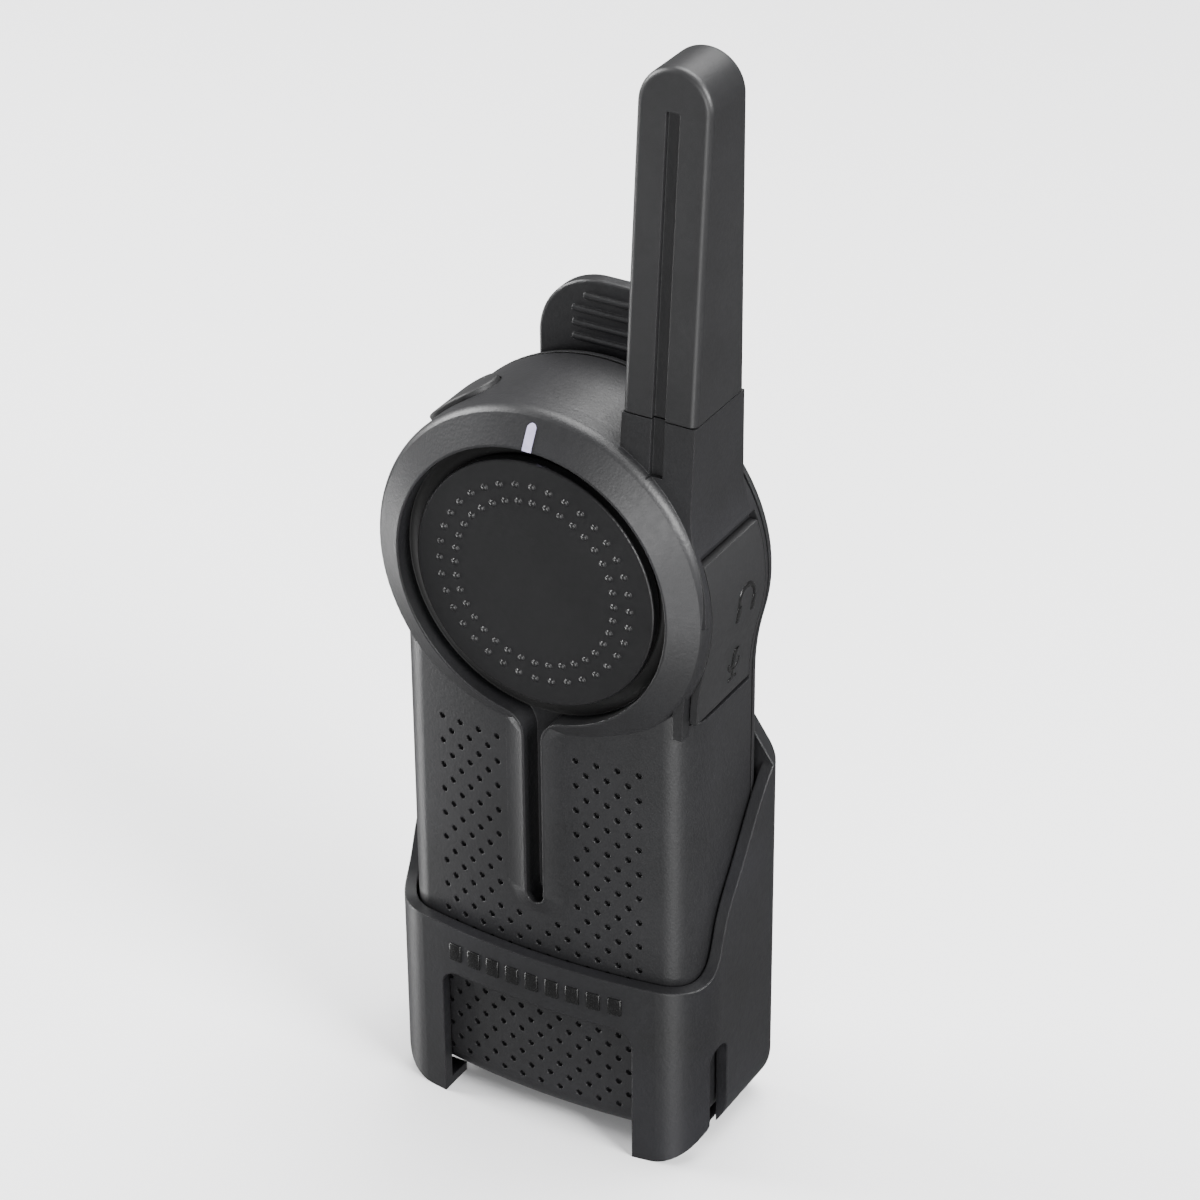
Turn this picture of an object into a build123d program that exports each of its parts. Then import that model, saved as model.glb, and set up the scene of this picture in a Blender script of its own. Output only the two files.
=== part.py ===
from build123d import *
from math import atan2, cos, degrees, radians, sin, sqrt
import os

# Portable radio standing in its belt holster.  Millimetres, +Z up, the front faces -Y.
# The origin is on the standing surface under the holster; Y = 0 is the radio's mid-depth.

os.makedirs("parts", exist_ok=True)

# ---- radio housing ----
body_w = 50.0            # width of the straight lower body
head_flare = 2.4         # the round head stands this far out past each side
radio_depth = 22.6
body_h = 94.2            # from the radio's bottom to the centre of the head
waist_r = 40.0           # concave blend from the head into the sides
bottom_corner_r = 6.0
wall = 1.6
bow_r = 118.0            # the front panel is bowed about a vertical axis
front_edge_r = 6.0
back_edge_r = 1.9
back_plate_t = 2.1
gasket_t = 0.5
gasket_inset = 0.4       # the gasket sits back from the skin and leaves a thin shadow line

# ---- bezel, talk button and its groove ----
bezel_w = 5.25           # bezel width, from the button opening to the rim
crest_h = 0.85           # the bezel's and the ridge's crest over the panel
crest_r = 0.35           # rounding of the crest
bezel_edge_r = 0.8       # radial width of the rounding at the rim
rim_round = 0.24         # how far that rounding cuts the corner
bezel_drop = 1.4         # the bezel's slope ends this far behind the panel's front
rim_drop = 3.3           # and the rim's straight side starts here
rim_step = 0.02          # the bezel's rim is this much smaller than the drum behind it
button_gap = 2.45        # open ring between the talk button and the bezel
button_set = 0.4         # the button's face is this far behind the panel's front
button_t = 1.6
button_travel = 0.6
moat_depth = 3.1         # from the panel's front to the elastomer
membrane_t = 1.2
pan_t = 1.4
dome_rings = (15.8, 13.2)
dome_count = 36
dome_r = 0.55
dome_h = 0.3
groove_w = 2.9
groove_foot = 39.6       # above the radio's bottom
groove_blend_r = 4.0
ridge_w = 10.0
ridge_foot = 36.7
ridge_sink = 0.1         # the ridge's slopes start this far below the panel's front
stem_r = 2.6

# ---- indicator light ----
light_w = 1.4
light_len = 3.7

# ---- antenna ----
antenna_in = 9.1         # from the head's right side to the antenna's middle
antenna_w = 11.6
antenna_top = 80.2       # above the head's centre
antenna_seam = 29.5
antenna_lean = 0.0886    # the front face leans back by this much per millimetre of height
antenna_set = 4.4        # front face behind the panel's front, at the height antenna_front_at
antenna_front_at = 33.0
antenna_back_set = 4.3   # back face in front of the radio's back
antenna_seam_gap = 0.2
antenna_groove_w = 2.1
antenna_groove_d = 0.8
antenna_groove_top = 74.0
antenna_groove_end = 21.0
antenna_blend_r = 18.0
antenna_edge_r = 1.0
radiator_w = 4.0
radiator_t = 0.8

# ---- board and what it carries ----
board_inset = 4.4
board_t = 1.2
board_depth = 7.9        # from the panel's front to the board's front face
boss_r = 2.6
post_r = 1.9
screw_r = 0.8
screw_head_r = 1.5
boss_low_in = 5.8        # from the straight side
boss_low_z = 6.6         # above the radio's bottom
boss_high_in = 6.2       # from the head's side
boss_high_z = 7.0        # above the head's centre
speaker_r = 15.0
speaker_t = 4.5
speaker_up = 21.5        # above the radio's bottom
mesh_t = 0.3
switch_gap = 0.05        # left between a pressed key and its switch
switch_t = 0.8
switch_dome_h = 0.4

# ---- keys ----
key_travel = 0.4
key_proud = 0.6
key_behind_board = 1.2   # the keys' middle, from the board's back face
key_w = 5.6
key_len = 8.4
key_gap = 0.2
key_flange = 0.8
key_heights = {"power_key": -3.0, "volume_up_key": -15.5, "volume_down_key": -25.5}
top_key_angle = 129.0
top_key_len = 12.8
top_key_w = 8.0

# ---- accessory sockets and their cover ----
socket_spacing = 11.3
socket_z = -1.3          # the upper socket, from the head's centre
socket_behind_board = 4.4
big_jack_r = 1.75
small_jack_r = 1.25
jack_depth = 10.0
plug_hole_r = 3.5
cover_t = 1.2
cover_top = 8.6
cover_hinge = -17.4
cover_inset = 3.5        # from the radio's front and back
cover_gap = 0.2
cover_slit = 1.5
cover_pad_t = 1.6

# ---- battery, its bay and its door ----
battery_w = 36.0
battery_below_head = 29.0   # the battery's top, under the head's centre and the sockets
battery_t = 6.4
battery_up = 11.2        # above the radio's bottom
bay_gap = 0.3
bay_wall = 1.8
door_t = 1.9
door_ledge = 1.1
door_gap = 0.15
latch_w = 10.0
latch_h = 4.8
latch_travel = 1.5
contact_xs = (-14.0, -11.0, 11.0, 14.0)
contact_inset = 8.3      # from the radio's back
contact_r = 1.0

# ---- holster ----
holster_gap = 0.4        # round the radio
holster_wall = 1.9
floor_t = 1.5
floor_gap = 0.3
lip_front_h = 32.0
sweep_start = 1.8        # the sides start to rise this far behind the radio's front
side_below_head = 35.0   # where the swept sides meet the back
window_w = 33.4
window_h = 23.5
window_corner_r = 3.0
window_depth = 8.0       # how far behind the radio's front the window is cut
side_slot_w = 4.6
side_slot_y = -4.0
side_slot_h = 19.6
spine_w = 24.6
spine_above_head = 12.0
spine_gap = 0.5
shoulder_h = 22.0        # over this height the back narrows into the spine
spine_t = 2.2
tab_above_head = 37.8
tab_gap = 0.3
tab_corner_r = 10.5
tab_t = 2.5
rib_drops = (9.6, 7.4, 5.1, 2.8)   # below the tab's top
rib_w = 12.8
rib_t = 1.0

# ---- swivel and belt clip ----
swivel_below_head = 24.0
swivel_r = 12.5
swivel_t = 2.2
swivel_gap = 0.3         # between the turning disc and the holster
swivel_screw_r = 2.0
swivel_head_r = 3.4
swivel_nut_r = 3.7
turning_gap = 0.06
clip_w = 22.0
clip_base_t = 3.2
clip_top = 26.0          # above the swivel
clip_bottom = 28.0       # below the swivel
belt_gap = 6.8           # between the base and the lever
lever_t = 2.2
lever_top = 34.0
lever_bottom = 31.0
ear_t = 1.9
ear_gap = 0.3
pin_r = 1.5
pin_up = 18.0            # above the swivel
spring_play = 0.07       # between the coil and the lever
spring_bore_gap = 0.35   # between the pin and the coil
spring_wire_r = 0.4
spring_turns = 5.5

# ---- places worked out from the sizes above ----
front_y = -radio_depth / 2
back_y = radio_depth / 2
plate_y = back_y - back_plate_t
rim_y = plate_y - gasket_t
radio_z = floor_t + floor_gap
head_z = radio_z + body_h
head_r = body_w / 2 + head_flare
battery_h = body_h - battery_below_head - battery_up
half_w = body_w / 2
groove_end = body_h - groove_foot
ridge_end = body_h - ridge_foot
antenna_x = head_r - antenna_in
antenna_front = front_y + antenna_set
antenna_back = back_y - antenna_back_set
boss_low_x = half_w - boss_low_in
boss_high_x = head_r - boss_high_in
cover_front = front_y + cover_inset
cover_back = back_y - cover_inset
contact_y = back_y - contact_inset
side_back_h = head_z - side_below_head
spine_h = head_z + spine_above_head
tab_top = head_z + tab_above_head
swivel_z = head_z - swivel_below_head
opening_r = head_r - bezel_w
button_r = opening_r - button_gap
button_y = front_y + button_set
crest_y = front_y - crest_h
moat_y = front_y + moat_depth
pan_y = moat_y + membrane_t
pan_back_y = pan_y + pan_t
inner_front_y = front_y + wall + 0.2
speaker_z = radio_z + speaker_up
speaker_front_y = inner_front_y + bow_r - sqrt(bow_r**2 - speaker_r**2) + 0.05
board_y = front_y + board_depth
board_back_y = board_y + board_t
key_y = board_back_y + key_behind_board
socket_y = board_back_y + socket_behind_board
waist_x = half_w + waist_r
waist_drop = sqrt((head_r + waist_r) ** 2 - waist_x**2)
waist_angle = degrees(atan2(waist_drop, waist_x))
far = 200.0              # longer than the whole object, for cutting tools


def facing_front(y):
    """A sketch plane across the object at depth y, with X to the right and Z up."""
    return Plane.XZ.offset(-y)


def side_x(drop, inset=0.0):
    """Half width of the radio's front view, 'drop' below the head's centre."""
    if drop >= waist_drop:
        return half_w - inset
    if drop >= (head_r - inset) * sin(radians(waist_angle)):
        return waist_x - sqrt((waist_r + inset) ** 2 - (waist_drop - drop) ** 2)
    return sqrt((head_r - inset) ** 2 - drop**2)


def draw_outline(inset=0.0):
    """Radio's front view: a round head blended into a straight body, 'inset' inside its skin."""
    r = head_r - inset
    w = half_w - inset
    corner = bottom_corner_r - inset
    low = radio_z + inset
    waist = waist_r + inset
    waist_z = head_z - waist_drop
    with BuildLine() as path:
        CenterArc((0, head_z), r, -waist_angle, 180 + 2 * waist_angle)
        CenterArc((waist_x, waist_z), waist, 180 - waist_angle, waist_angle)
        CenterArc((-waist_x, waist_z), waist, 0, waist_angle)
        if corner > 0.5:
            Line((w, waist_z), (w, low + corner))
            Line((-w, waist_z), (-w, low + corner))
            CenterArc((w - corner, low + corner), corner, -90, 90)
            CenterArc((corner - w, low + corner), corner, 180, 90)
            Line((w - corner, low), (corner - w, low))
        else:
            Polyline((w, waist_z), (w, low), (-w, low), (-w, waist_z))
    make_face(path.line)


def draw_section(grow=0.0):
    """Lower body seen from above: bowed front, round front corners, 'grow' outside its skin."""
    w = half_w + grow
    xc = half_w - front_edge_r
    yc = front_y + bow_r - sqrt((bow_r - front_edge_r) ** 2 - xc**2)
    bow_y = front_y + bow_r
    lean = degrees(atan2(xc, bow_y - yc))
    back = back_y + grow
    corner = max(back_edge_r + grow, 0.0)
    if corner <= 0.05:
        corner = 0.0
    with BuildLine() as path:
        CenterArc((0, bow_y), bow_r + grow, -90 - lean, 2 * lean)
        CenterArc((xc, yc), front_edge_r + grow, lean - 90, 90 - lean)
        CenterArc((-xc, yc), front_edge_r + grow, 180, 90 - lean)
        Line((w, yc), (w, back - corner))
        Line((-w, yc), (-w, back - corner))
        if corner > 0:
            CenterArc((w - corner, back - corner), corner, 0, 90)
            CenterArc((corner - w, back - corner), corner, 90, 90)
        Line((w - corner, back), (corner - w, back))
    make_face(path.line)


def draw_keyhole(grow=0.0):
    """Round button opening with the groove running down from it, corners blended."""
    with Locations((0, head_z)):
        Circle(opening_r + grow)
    w = groove_w / 2 + grow
    foot = head_z - groove_end + groove_w / 2
    with Locations((0, (foot + head_z) / 2)):
        Rectangle(2 * w, head_z - foot)
    with Locations((0, foot)):
        Circle(w)
    reach = sqrt((opening_r + grow) ** 2 - w**2)
    inner = [v for v in vertices() if abs(v.Y - (head_z - reach)) < 0.2]
    fillet(inner, groove_blend_r - grow)


def export(piece, name):
    piece.label = name
    export_step(piece, f"parts/{name}.step")


boss_places = [
    (-boss_low_x, radio_z + boss_low_z),
    (boss_low_x, radio_z + boss_low_z),
    (-boss_high_x, head_z + boss_high_z),
    (boss_high_x, head_z + boss_high_z),
]

# ---------------------------------------------------------------------------
# Antenna: one leaning slab.  Its base belongs to the front housing and the
# sleeve stands on it, so both are cut from the same form.
seam_z = head_z + antenna_seam
antenna_r = antenna_w / 2
antenna_tip = head_z + antenna_top - antenna_r


def antenna_front_y(z):
    return antenna_front + (z - head_z - antenna_front_at) * antenna_lean


with BuildPart() as antenna_side:
    with BuildSketch(Plane.YZ):
        with BuildLine():
            Polyline(
                (antenna_front_y(head_z), head_z),
                (antenna_front_y(head_z + antenna_top), head_z + antenna_top),
                (antenna_back, head_z + antenna_top),
                (antenna_back, head_z),
                close=True,
            )
        make_face()
    extrude(amount=far)

with BuildPart() as antenna_groove:
    groove_top_z = head_z + antenna_groove_top
    groove_end_z = head_z + antenna_groove_end
    with BuildSketch(Plane.YZ.offset(antenna_x - antenna_groove_w / 2)):
        with BuildLine():
            Polyline(
                (antenna_front_y(groove_end_z) - 5, groove_end_z),
                (antenna_front_y(groove_end_z) + antenna_groove_d, groove_end_z),
                (antenna_front_y(groove_top_z) + antenna_groove_d, groove_top_z),
                (antenna_front_y(groove_top_z) - 5, groove_top_z),
                close=True,
            )
        make_face()
    extrude(amount=antenna_groove_w)

with BuildPart() as radiator_slot:
    with BuildSketch(Plane.XY.offset(head_z)):
        with Locations((antenna_x, radiator_t / 2)):
            Rectangle(radiator_w + 0.6, radiator_t + 0.6)
    extrude(amount=antenna_tip - head_z)

with BuildPart() as antenna_sleeve:
    with BuildSketch(facing_front(antenna_back)):
        with Locations((antenna_x, antenna_tip)):
            Circle(antenna_r)
        with Locations((antenna_x, (seam_z + antenna_seam_gap + antenna_tip) / 2)):
            Rectangle(antenna_w, antenna_tip - seam_z - antenna_seam_gap)
    extrude(amount=radio_depth)
    add(antenna_side.part, mode=Mode.INTERSECT)
    fillet(
        antenna_sleeve.edges().filter_by(lambda e: e.center().Z > seam_z + 1),
        antenna_edge_r,
    )
    add(antenna_groove.part, mode=Mode.SUBTRACT)
    add(radiator_slot.part, mode=Mode.SUBTRACT)
export(antenna_sleeve.part, "antenna_sleeve")

with BuildPart() as antenna_radiator:
    foot_z = head_z + 11.5
    with BuildSketch(Plane.XY.offset(foot_z)):
        with Locations((antenna_x, radiator_t / 2)):
            Rectangle(radiator_w, radiator_t)
    extrude(amount=antenna_tip - 1.0 - foot_z)
    with BuildSketch(Plane.XY.offset(foot_z)):
        with Locations((antenna_x - radiator_w / 2, board_back_y)):
            Rectangle(2.5, -board_back_y, align=(Align.MIN, Align.MIN))
    extrude(amount=1.5)
export(antenna_radiator.part, "antenna_radiator")

# ---------------------------------------------------------------------------
# Front housing: a deep tub whose bowed panel carries the proud bezel round the talk
# button, the ridge with its groove, and the antenna's base.
with BuildPart() as bow_form:
    with BuildSketch(Plane.XY):
        with Locations((0, front_y + bow_r)):
            Circle(bow_r)
    extrude(amount=far)


def draw_bezel(proud=0.0):
    """Half section of the bezel: radius to the right, depth upwards; 'proud' fills it out."""
    slope_r = head_r - bezel_edge_r
    with BuildLine() as path:
        rim_r = head_r - rim_step + proud
        rim = Line((rim_r, board_y), (rim_r, front_y + rim_drop))
        slope = Line((slope_r, front_y + bezel_drop - proud), (opening_r + crest_r, crest_y - proud))
        round_y = front_y + (bezel_drop + rim_drop) / 2 - rim_round
        ThreePointArc(rim @ 1, (head_r - rim_round, round_y), slope @ 0)
        inner = opening_r - proud
        crest = ThreePointArc(
            slope @ 1,
            (inner + 0.25 * crest_r, crest_y - proud + 0.3 * crest_r),
            (inner, crest_y - proud + 1.2 * crest_r),
        )
        Polyline(crest @ 1, (inner, board_y), rim @ 0)
    make_face(path.line)


bezel_axis = Axis((0, 0, head_z), (0, 1, 0))
bezel_plane = Plane(origin=(0, 0, head_z), x_dir=(1, 0, 0), z_dir=(0, 0, 1))

with BuildPart() as bezel_form:
    with BuildSketch(bezel_plane):
        draw_bezel()
    revolve(axis=bezel_axis)

ridge_top = head_z - opening_r
ridge_mid = head_z - ridge_end + ridge_w / 2
crest_half = groove_w / 2 + crest_r


def draw_ridge(half):
    """Upright strip with a round foot, 'half' wide to each side."""
    with Locations((0, (ridge_top + ridge_mid) / 2)):
        Rectangle(2 * half, ridge_top - ridge_mid)
    with Locations((0, ridge_mid)):
        Circle(half)


with BuildPart() as ridge_form:
    ridge_foot_y = front_y + ridge_sink
    with BuildSketch(facing_front(inner_front_y)):
        draw_ridge(ridge_w / 2)
    extrude(amount=inner_front_y - ridge_foot_y)
    with BuildSketch(facing_front(ridge_foot_y)) as ridge_foot:
        draw_ridge(ridge_w / 2)
    with BuildSketch(facing_front(crest_y)) as ridge_crown:
        draw_ridge(crest_half)
    loft([ridge_foot.sketch.face(), ridge_crown.sketch.face()])

# The bezel's cone and the ridge run into each other through a blended web.
with BuildPart() as web_form:
    with BuildSketch(facing_front(inner_front_y)):
        draw_keyhole(crest_r)
    extrude(amount=inner_front_y - crest_y)

with BuildPart() as antenna_base:
    with BuildSketch(facing_front(antenna_back)):
        with Locations((0, head_z)):
            Circle(head_r - rim_step)
        with Locations((antenna_x, (head_z + seam_z) / 2)):
            Rectangle(antenna_w, seam_z - head_z)
        antenna_base_joint = [
            v
            for v in vertices()
            if abs(v.X - antenna_x - antenna_r) < 0.01 and v.Y < seam_z - 1
        ]
        fillet(antenna_base_joint, antenna_blend_r)
    extrude(amount=radio_depth)
    add(antenna_side.part, mode=Mode.INTERSECT)

# The accessory cover and its recess are cut from bands that follow the right side's skin.
cover_top_z = head_z + cover_top
hinge_z = head_z + cover_hinge
hinge_x = half_w - cover_t / 2
cover_mid_y = (cover_front + cover_back) / 2
cover_len_y = cover_back - cover_front


def side_band(outer, inner, low_z, high_z, low_y, high_y):
    """Solid band on the right side, from 'outer' to 'inner' inside the radio's skin."""
    with BuildPart() as band:
        with BuildSketch(facing_front(high_y)):
            draw_outline(outer)
        extrude(amount=high_y - low_y)
        with BuildSketch(facing_front(high_y)):
            draw_outline(inner)
        extrude(amount=high_y - low_y, mode=Mode.SUBTRACT)
        with BuildSketch(facing_front(high_y)):
            with Locations((0, low_z)):
                Rectangle(far, high_z - low_z, align=(Align.MIN, Align.MIN))
        extrude(amount=high_y - low_y, mode=Mode.INTERSECT)
    return band.part


recess_depth = cover_t + cover_gap
recess = side_band(
    -1.0, recess_depth, hinge_z - 1.0, cover_top_z + cover_slit,
    cover_front - cover_gap, cover_back + cover_gap,
)
cover_pad = side_band(
    recess_depth, recess_depth + cover_pad_t, hinge_z - 1.0 - wall, cover_top_z + cover_slit + wall,
    cover_front - cover_gap - wall, rim_y,
)
socket_places = [(socket_y, head_z + socket_z), (socket_y, head_z + socket_z - socket_spacing)]

top_key_dir = (cos(radians(top_key_angle)), 0, sin(radians(top_key_angle)))
top_key_plane = Plane(
    origin=(0, key_y, head_z), x_dir=(0, 1, 0), z_dir=top_key_dir
)

with BuildPart() as front_housing:
    with BuildSketch(facing_front(rim_y)):
        draw_outline()
    extrude(amount=rim_y - front_y)
    add(bow_form.part, mode=Mode.INTERSECT)
    front_face = front_housing.faces().sort_by(Axis.Y)[0]
    fillet(front_face.edges(), front_edge_r)
    add(bezel_form.part)
    add(ridge_form.part)
    add(web_form.part)
    add(antenna_base.part)
    # the room behind the head and behind the panel
    with BuildSketch(facing_front(rim_y)):
        draw_outline(wall)
    extrude(amount=rim_y - pan_back_y, mode=Mode.SUBTRACT)
    with BuildSketch(Plane.XY.offset(radio_z + front_edge_r)):
        draw_section(-wall - 0.2)
        with Locations((0, rim_y)):
            Rectangle(far, far, align=(Align.CENTER, Align.MIN), mode=Mode.SUBTRACT)
    extrude(amount=head_z - head_r - 1.5 - radio_z - front_edge_r, mode=Mode.SUBTRACT)
    # backing behind the groove
    with BuildSketch(facing_front(pan_y)):
        with Locations((0, head_z - groove_end - 2.0)):
            Rectangle(groove_w + 4.0, groove_end, align=(Align.CENTER, Align.MIN))
    extrude(amount=pan_y - inner_front_y)
    # keyhole-shaped moat and groove, the elastomer's seat, and the talk button's hole
    with BuildSketch(facing_front(moat_y)):
        draw_keyhole()
    extrude(amount=far, mode=Mode.SUBTRACT)
    with BuildSketch(facing_front(pan_y)):
        with Locations((0, head_z)):
            Circle(opening_r)
    extrude(amount=far, mode=Mode.SUBTRACT)
    with BuildSketch(facing_front(pan_back_y)):
        with Locations((0, head_z)):
            Circle(stem_r + 1.6)
    extrude(amount=far, mode=Mode.SUBTRACT)
    # slot for the light pipe, open to the moat
    with BuildSketch(facing_front(pan_back_y)):
        with Locations((0, head_z + opening_r - 0.5)):
            Rectangle(
                light_w + 0.1, light_len - light_w / 2 + 0.5, align=(Align.CENTER, Align.MIN)
            )
        with Locations((0, head_z + opening_r + light_len - light_w / 2)):
            Circle(light_w / 2 + 0.05)
    extrude(amount=far, mode=Mode.SUBTRACT)
    # antenna groove runs down over the base, and the radiator passes through it
    add(antenna_groove.part, mode=Mode.SUBTRACT)
    add(radiator_slot.part, mode=Mode.SUBTRACT)
    # bosses that carry the board and take the screws
    for x, z in boss_places:
        start_y = front_y + front_edge_r / 2 if z < head_z else pan_back_y - 0.2
        with Locations(Plane(origin=(x, start_y, z), z_dir=(0, 1, 0))):
            Cylinder(boss_r, board_y - start_y, align=(Align.CENTER, Align.CENTER, Align.MIN))
            Cylinder(post_r, plate_y - start_y, align=(Align.CENTER, Align.CENTER, Align.MIN))
    # seat round the speaker
    with BuildSketch(facing_front(speaker_front_y)):
        with Locations((0, speaker_z)):
            Circle(speaker_r)
            Circle(speaker_r - 1.2, mode=Mode.SUBTRACT)
    extrude(amount=speaker_front_y - inner_front_y)
    # accessory recess on its thickened wall, with the two plug holes
    add(cover_pad)
    add(recess, mode=Mode.SUBTRACT)
    for y, z in socket_places:
        with Locations(Plane(origin=(half_w - 8.0, y, z), z_dir=(1, 0, 0))):
            Cylinder(plug_hole_r, 20, align=(Align.CENTER, Align.CENTER, Align.MIN),
                     mode=Mode.SUBTRACT)
    # screw holes
    for x, z in boss_places:
        with Locations(Plane(origin=(x, board_y + 3.0, z), z_dir=(0, 1, 0))):
            Cylinder(screw_r, far, align=(Align.CENTER, Align.CENTER, Align.MIN),
                     mode=Mode.SUBTRACT)
    # openings for the side keys and the top key
    for drop in key_heights.values():
        with Locations(Plane(origin=(-half_w + 4.0, key_y, head_z + drop), z_dir=(-1, 0, 0))):
            Box(key_len + 2 * key_gap, key_w + 2 * key_gap, 10,
                align=(Align.CENTER, Align.CENTER, Align.MIN), mode=Mode.SUBTRACT)
    with BuildSketch(top_key_plane.offset(head_r - wall - 1.5)):
        SlotOverall(top_key_len + 2 * key_gap, top_key_w + 2 * key_gap, rotation=90)
    extrude(amount=6, mode=Mode.SUBTRACT)
    # charging contacts come out through the bottom wall
    with Locations(*[Location((x, contact_y, radio_z - 1)) for x in contact_xs]):
        Cylinder(contact_r, wall + 2, align=(Align.CENTER, Align.CENTER, Align.MIN),
                 mode=Mode.SUBTRACT)
    # microphone port at the groove's foot
    with Locations(Plane(origin=(0, pan_y, head_z - groove_end + groove_w / 2), z_dir=(0, -1, 0))):
        Cylinder(0.5, 5, mode=Mode.SUBTRACT)
export(front_housing.part, "front_housing")

# ---------------------------------------------------------------------------
# Rear housing: back plate with rounded edges and the battery bay standing into the tub.
bay_low = radio_z + battery_up - bay_gap
bay_high = radio_z + battery_up + battery_h + bay_gap
bay_mid = (bay_low + bay_high) / 2
bay_h = bay_high - bay_low
bay_w = battery_w + 2 * bay_gap
door_y = back_y - door_t
bay_floor_y = door_y - battery_t - 2 * bay_gap
bay_front_y = bay_floor_y - bay_wall / 2
door_w = bay_w + 2 * door_ledge
door_h = bay_h + 2 * door_ledge
latch_low = bay_high + door_ledge + door_gap
latch_depth = 1.1

with BuildPart() as rear_housing:
    with BuildSketch(facing_front(back_y)):
        draw_outline()
    extrude(amount=back_plate_t)
    fillet(rear_housing.faces().sort_by(Axis.Y)[-1].edges(), back_edge_r)
    with BuildSketch(facing_front(back_y)):
        with Locations((0, bay_mid)):
            Rectangle(bay_w + 2 * bay_wall, bay_h + 2 * bay_wall)
    extrude(amount=back_y - bay_front_y)
    with BuildSketch(facing_front(back_y)):
        with Locations((0, bay_mid)):
            Rectangle(bay_w, bay_h)
    extrude(amount=back_y - bay_floor_y, mode=Mode.SUBTRACT)
    with BuildSketch(facing_front(back_y)):
        with Locations((0, bay_mid)):
            RectangleRounded(door_w, door_h, 1.0)
    extrude(amount=door_t, mode=Mode.SUBTRACT)
    # recess the latch slides in
    with BuildSketch(facing_front(back_y)):
        with Locations((0, latch_low - 0.5)):
            Rectangle(
                latch_w + 0.4, latch_h + latch_travel + 0.8, align=(Align.CENTER, Align.MIN)
            )
    extrude(amount=latch_depth, mode=Mode.SUBTRACT)
    # contacts pass through the bay's upper wall
    with Locations(Plane.XY.offset(bay_high - 1)):
        with Locations(*[(x, (bay_floor_y + door_y) / 2) for x in (-5, 0, 5)]):
            Cylinder(0.75, bay_wall + 2, align=(Align.CENTER, Align.CENTER, Align.MIN),
                     mode=Mode.SUBTRACT)
    for x, z in boss_places:
        with Locations(Plane(origin=(x, back_y, z), z_dir=(0, 1, 0))):
            CounterBoreHole(screw_r, screw_head_r, 1.1, depth=back_plate_t + 1)
export(rear_housing.part, "rear_housing")

with BuildPart() as housing_gasket:
    with BuildSketch(facing_front(plate_y)):
        draw_outline(gasket_inset)
    extrude(amount=gasket_t)
    with BuildSketch(facing_front(plate_y)):
        draw_outline(wall)
    extrude(amount=gasket_t, mode=Mode.SUBTRACT)
export(housing_gasket.part, "housing_gasket")

with BuildPart() as housing_screws:
    for x, z in boss_places:
        with Locations(Plane(origin=(x, back_y - 0.1, z), z_dir=(0, 1, 0))):
            Cylinder(screw_head_r - 0.02, 1.0, align=(Align.CENTER, Align.CENTER, Align.MAX))
            Cylinder(screw_r - 0.02, 7.0, align=(Align.CENTER, Align.CENTER, Align.MAX))
            Cylinder(0.6, 1.2, align=(Align.CENTER, Align.CENTER, Align.CENTER), mode=Mode.SUBTRACT)
export(housing_screws.part, "housing_screws")

# ---------------------------------------------------------------------------
# Talk button: a flat disc with two rings of small domes, on a stem that works the switch.
switch_face_y = board_y - switch_t - switch_dome_h
with BuildPart() as ptt_button:
    with BuildSketch(facing_front(button_y + button_t)):
        with Locations((0, head_z)):
            Circle(button_r)
    extrude(amount=button_t)
    fillet(ptt_button.faces().sort_by(Axis.Y)[0].edges(), 0.35)
    with BuildSketch(facing_front(switch_face_y - button_travel - switch_gap)):
        with Locations((0, head_z)):
            Circle(stem_r)
    extrude(amount=switch_face_y - button_travel - switch_gap - button_y - button_t)
    dome_ball = (dome_r**2 + dome_h**2) / (2 * dome_h)
    for ring_r in dome_rings:
        with Locations(facing_front(button_y - dome_h + dome_ball)):
            with Locations((0, head_z)):
                with PolarLocations(ring_r, dome_count, start_angle=90):
                    Sphere(dome_ball)
    # trim the balls' hidden halves from inside the disc's underside
    with BuildSketch(facing_front(button_y + button_t + 2)):
        with Locations((0, head_z)):
            Circle(button_r)
            Circle(stem_r, mode=Mode.SUBTRACT)
    extrude(amount=2, mode=Mode.SUBTRACT)
export(ptt_button.part, "ptt_button")

# Elastomer in the moat: flat under the disc, swept up to the bezel's wall.
with BuildPart() as ptt_membrane:
    with BuildSketch(bezel_plane):
        with BuildLine():
            outer_r = opening_r - 0.03
            skirt = Polyline(
                (outer_r, moat_y - 0.9), (outer_r, pan_y), (stem_r + 0.6, pan_y),
                (stem_r + 0.6, moat_y), (button_r - 0.2, moat_y),
            )
            ThreePointArc(skirt @ 1, (outer_r - 0.75, moat_y - 0.18), skirt @ 0)
        make_face()
    revolve(axis=bezel_axis)
export(ptt_membrane.part, "ptt_membrane")

# Indicator light: a clear pipe in the bezel over an LED on the board.
with BuildPart() as led_light_pipe:
    with BuildSketch(bezel_plane):
        draw_bezel(0.15)
    revolve(axis=bezel_axis)
    with BuildSketch(facing_front(pan_back_y)):
        with Locations((0, head_z + opening_r + 0.02)):
            Rectangle(light_w, light_len - light_w / 2, align=(Align.CENTER, Align.MIN))
        with Locations((0, head_z + opening_r + light_len - light_w / 2)):
            Circle(light_w / 2)
    extrude(amount=far, mode=Mode.INTERSECT)
export(led_light_pipe.part, "led_light_pipe")

with BuildPart() as led:
    led_z = head_z + head_r - board_inset - 1.6
    with BuildSketch(facing_front(board_y)):
        with Locations((0, led_z)):
            Rectangle(2.0, 1.4)
    extrude(amount=1.0)
    with Locations(Plane(origin=(0, board_y - 1.0, led_z), z_dir=(0, -1, 0))):
        Cylinder(0.5, 0.2, align=(Align.CENTER, Align.CENTER, Align.MIN))
export(led.part, "led")

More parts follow.
